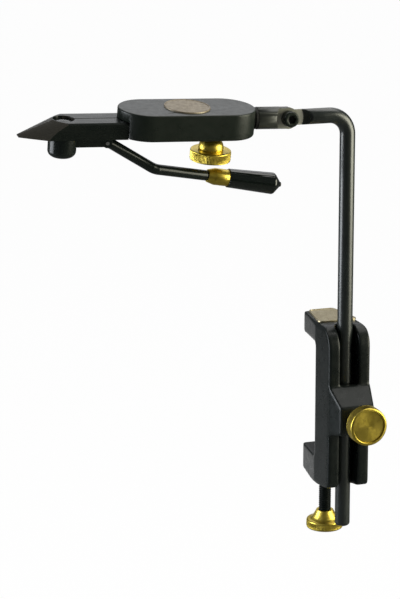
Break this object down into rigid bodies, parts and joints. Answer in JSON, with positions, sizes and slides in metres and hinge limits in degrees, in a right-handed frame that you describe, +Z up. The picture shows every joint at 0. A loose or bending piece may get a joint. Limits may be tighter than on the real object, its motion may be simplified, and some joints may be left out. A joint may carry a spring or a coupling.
{
  "type": "fly tying vise",
  "caption": "Table-clamped vise that grips a small hook in tapered jaws, with a lever-opened head that turns and tilts on a height-adjustable bent stem.",
  "frame": {"origin": "clamp screw axis at the table face, the underside of the upper clamp arm", "axes": "+Z up along the stem and the clamp screw, the head points along -X, the throat of the clamp opens along +Y"},
  "size_m": [0.219, 0.0866, 0.2882],
  "materials": {
    "casting": "charcoal coat, slightly rough",
    "plate": "pale bronze, satin",
    "black_steel": "black oxide, semi-gloss",
    "brass": "turned and polished",
    "steel": "plain turned",
    "stem_steel": "gunmetal, semi-gloss",
    "washer": "black, dull",
    "head_alloy": "dark satin",
    "jaw_steel": "black oxide, satin",
    "grip": "black, glossy"
  },
  "bodies": {
    "clamp": {"clamp_frame": "casting", "name_plate": "plate"},
    "pad": {"clamp_pad": "black_steel"},
    "clamp_spindle": {"clamp_screw": "black_steel", "clamp_knob": "brass"},
    "bush": {"stem_bush": "steel"},
    "stem": {"stem": "stem_steel", "knuckle_screw": "black_steel"},
    "lock_shoe": {"lock_shoe": "brass"},
    "lock_knob": {"lock_screw": "steel", "lock_knob": "brass"},
    "shaft": {"head_shaft": "stem_steel", "shaft_washer": "washer"},
    "head": {"head_body": "head_alloy", "head_cover": "head_alloy", "cover_screws": "black_steel", "medallion": "plate", "jaw_pins": "steel", "jaw_spring": "steel", "tension_washer": "washer"},
    "lever": {"lever_arm": "black_steel", "lever_pin": "steel", "lever_ferrule": "brass", "lever_grip": "grip"},
    "wedge": {"wedge_stud": "black_steel", "cam_cup": "black_steel"},
    "jaw_front": {"jaw_front": "jaw_steel"},
    "jaw_back": {"jaw_back": "jaw_steel"},
    "tension_shoe": {"tension_shoe": "brass"},
    "tension_knob": {"tension_screw": "steel", "tension_knob": "brass"}
  },
  "joints": [
    {"name": "clamp_feed", "type": "slide", "parent": "clamp", "child": "pad", "axis": [0, 0, 1], "range_m": [-0.029, 0.021]},
    {"name": "clamp_turn", "type": "hinge", "parent": "pad", "child": "clamp_spindle", "pos_m": [0, 0, 0], "axis": [0, 0, 1], "range_deg": [-7403, 5363]},
    {"name": "stem_swivel", "type": "hinge", "parent": "clamp", "child": "bush", "pos_m": [0, -0.03, 0], "axis": [0, 0, 1], "continuous": true},
    {"name": "stem_height", "type": "slide", "parent": "bush", "child": "stem", "axis": [0, 0, 1], "range_m": [-0.05, 0.055]},
    {"name": "lock_feed", "type": "slide", "parent": "clamp", "child": "lock_shoe", "axis": [0, 1, 0], "range_m": [-0.0019, 0]},
    {"name": "lock_turn", "type": "hinge", "parent": "lock_shoe", "child": "lock_knob", "pos_m": [0, -0.03, -0.0408], "axis": [0, 1, 0], "range_deg": [-540, 0]},
    {"name": "head_tilt", "type": "hinge", "parent": "stem", "child": "shaft", "pos_m": [-0.0395, -0.03, 0.1457], "axis": [0, 1, 0], "range_deg": [-45, 30]},
    {"name": "head_spin", "type": "hinge", "parent": "shaft", "child": "head", "pos_m": [-0.0395, -0.03, 0.1457], "axis": [0.9993, 0, -0.0382], "continuous": true},
    {"name": "lever_squeeze", "type": "hinge", "parent": "head", "child": "lever", "pos_m": [-0.15192, -0.02803, 0.13694], "axis": [-0.0057, -0.9888, -0.1494], "range_deg": [0, 3.6], "stiffness_Nm_per_rad": 2, "springref_deg": -5.73},
    {"name": "wedge_draw", "type": "slide", "parent": "head", "child": "wedge", "axis": [-0.0378, 0.1495, -0.988], "range_m": [0, 0.00168]},
    {"name": "jaw_front_swing", "type": "hinge", "parent": "head", "child": "jaw_front", "pos_m": [-0.13006, -0.03544, 0.14834], "axis": [0.0378, -0.1495, 0.988], "range_deg": [0, 0.91]},
    {"name": "jaw_back_swing", "type": "hinge", "parent": "head", "child": "jaw_back", "pos_m": [-0.13, -0.02456, 0.14998], "axis": [-0.0378, 0.1495, -0.988], "range_deg": [0, 0.91]},
    {"name": "tension_feed", "type": "slide", "parent": "head", "child": "tension_shoe", "axis": [0.0378, -0.1495, 0.988], "range_m": [-0.00063, 0]},
    {"name": "tension_turn", "type": "hinge", "parent": "tension_shoe", "child": "tension_knob", "pos_m": [-0.08652, -0.02821, 0.13562], "axis": [0.0378, -0.1495, 0.988], "range_deg": [-180, 0]}
  ],
  "couplings": [
    {"joint": "clamp_turn", "follows": "clamp_feed", "rad_per_m": 4453},
    {"joint": "lock_turn", "follows": "lock_feed", "rad_per_m": 4947.4},
    {"joint": "tension_turn", "follows": "tension_feed", "rad_per_m": 4947.4},
    {"joint": "wedge_draw", "follows": "lever_squeeze", "m_per_rad": 0.0266},
    {"joint": "jaw_front_swing", "follows": "lever_squeeze", "ratio": 0.25},
    {"joint": "jaw_back_swing", "follows": "lever_squeeze", "ratio": 0.25}
  ]
}
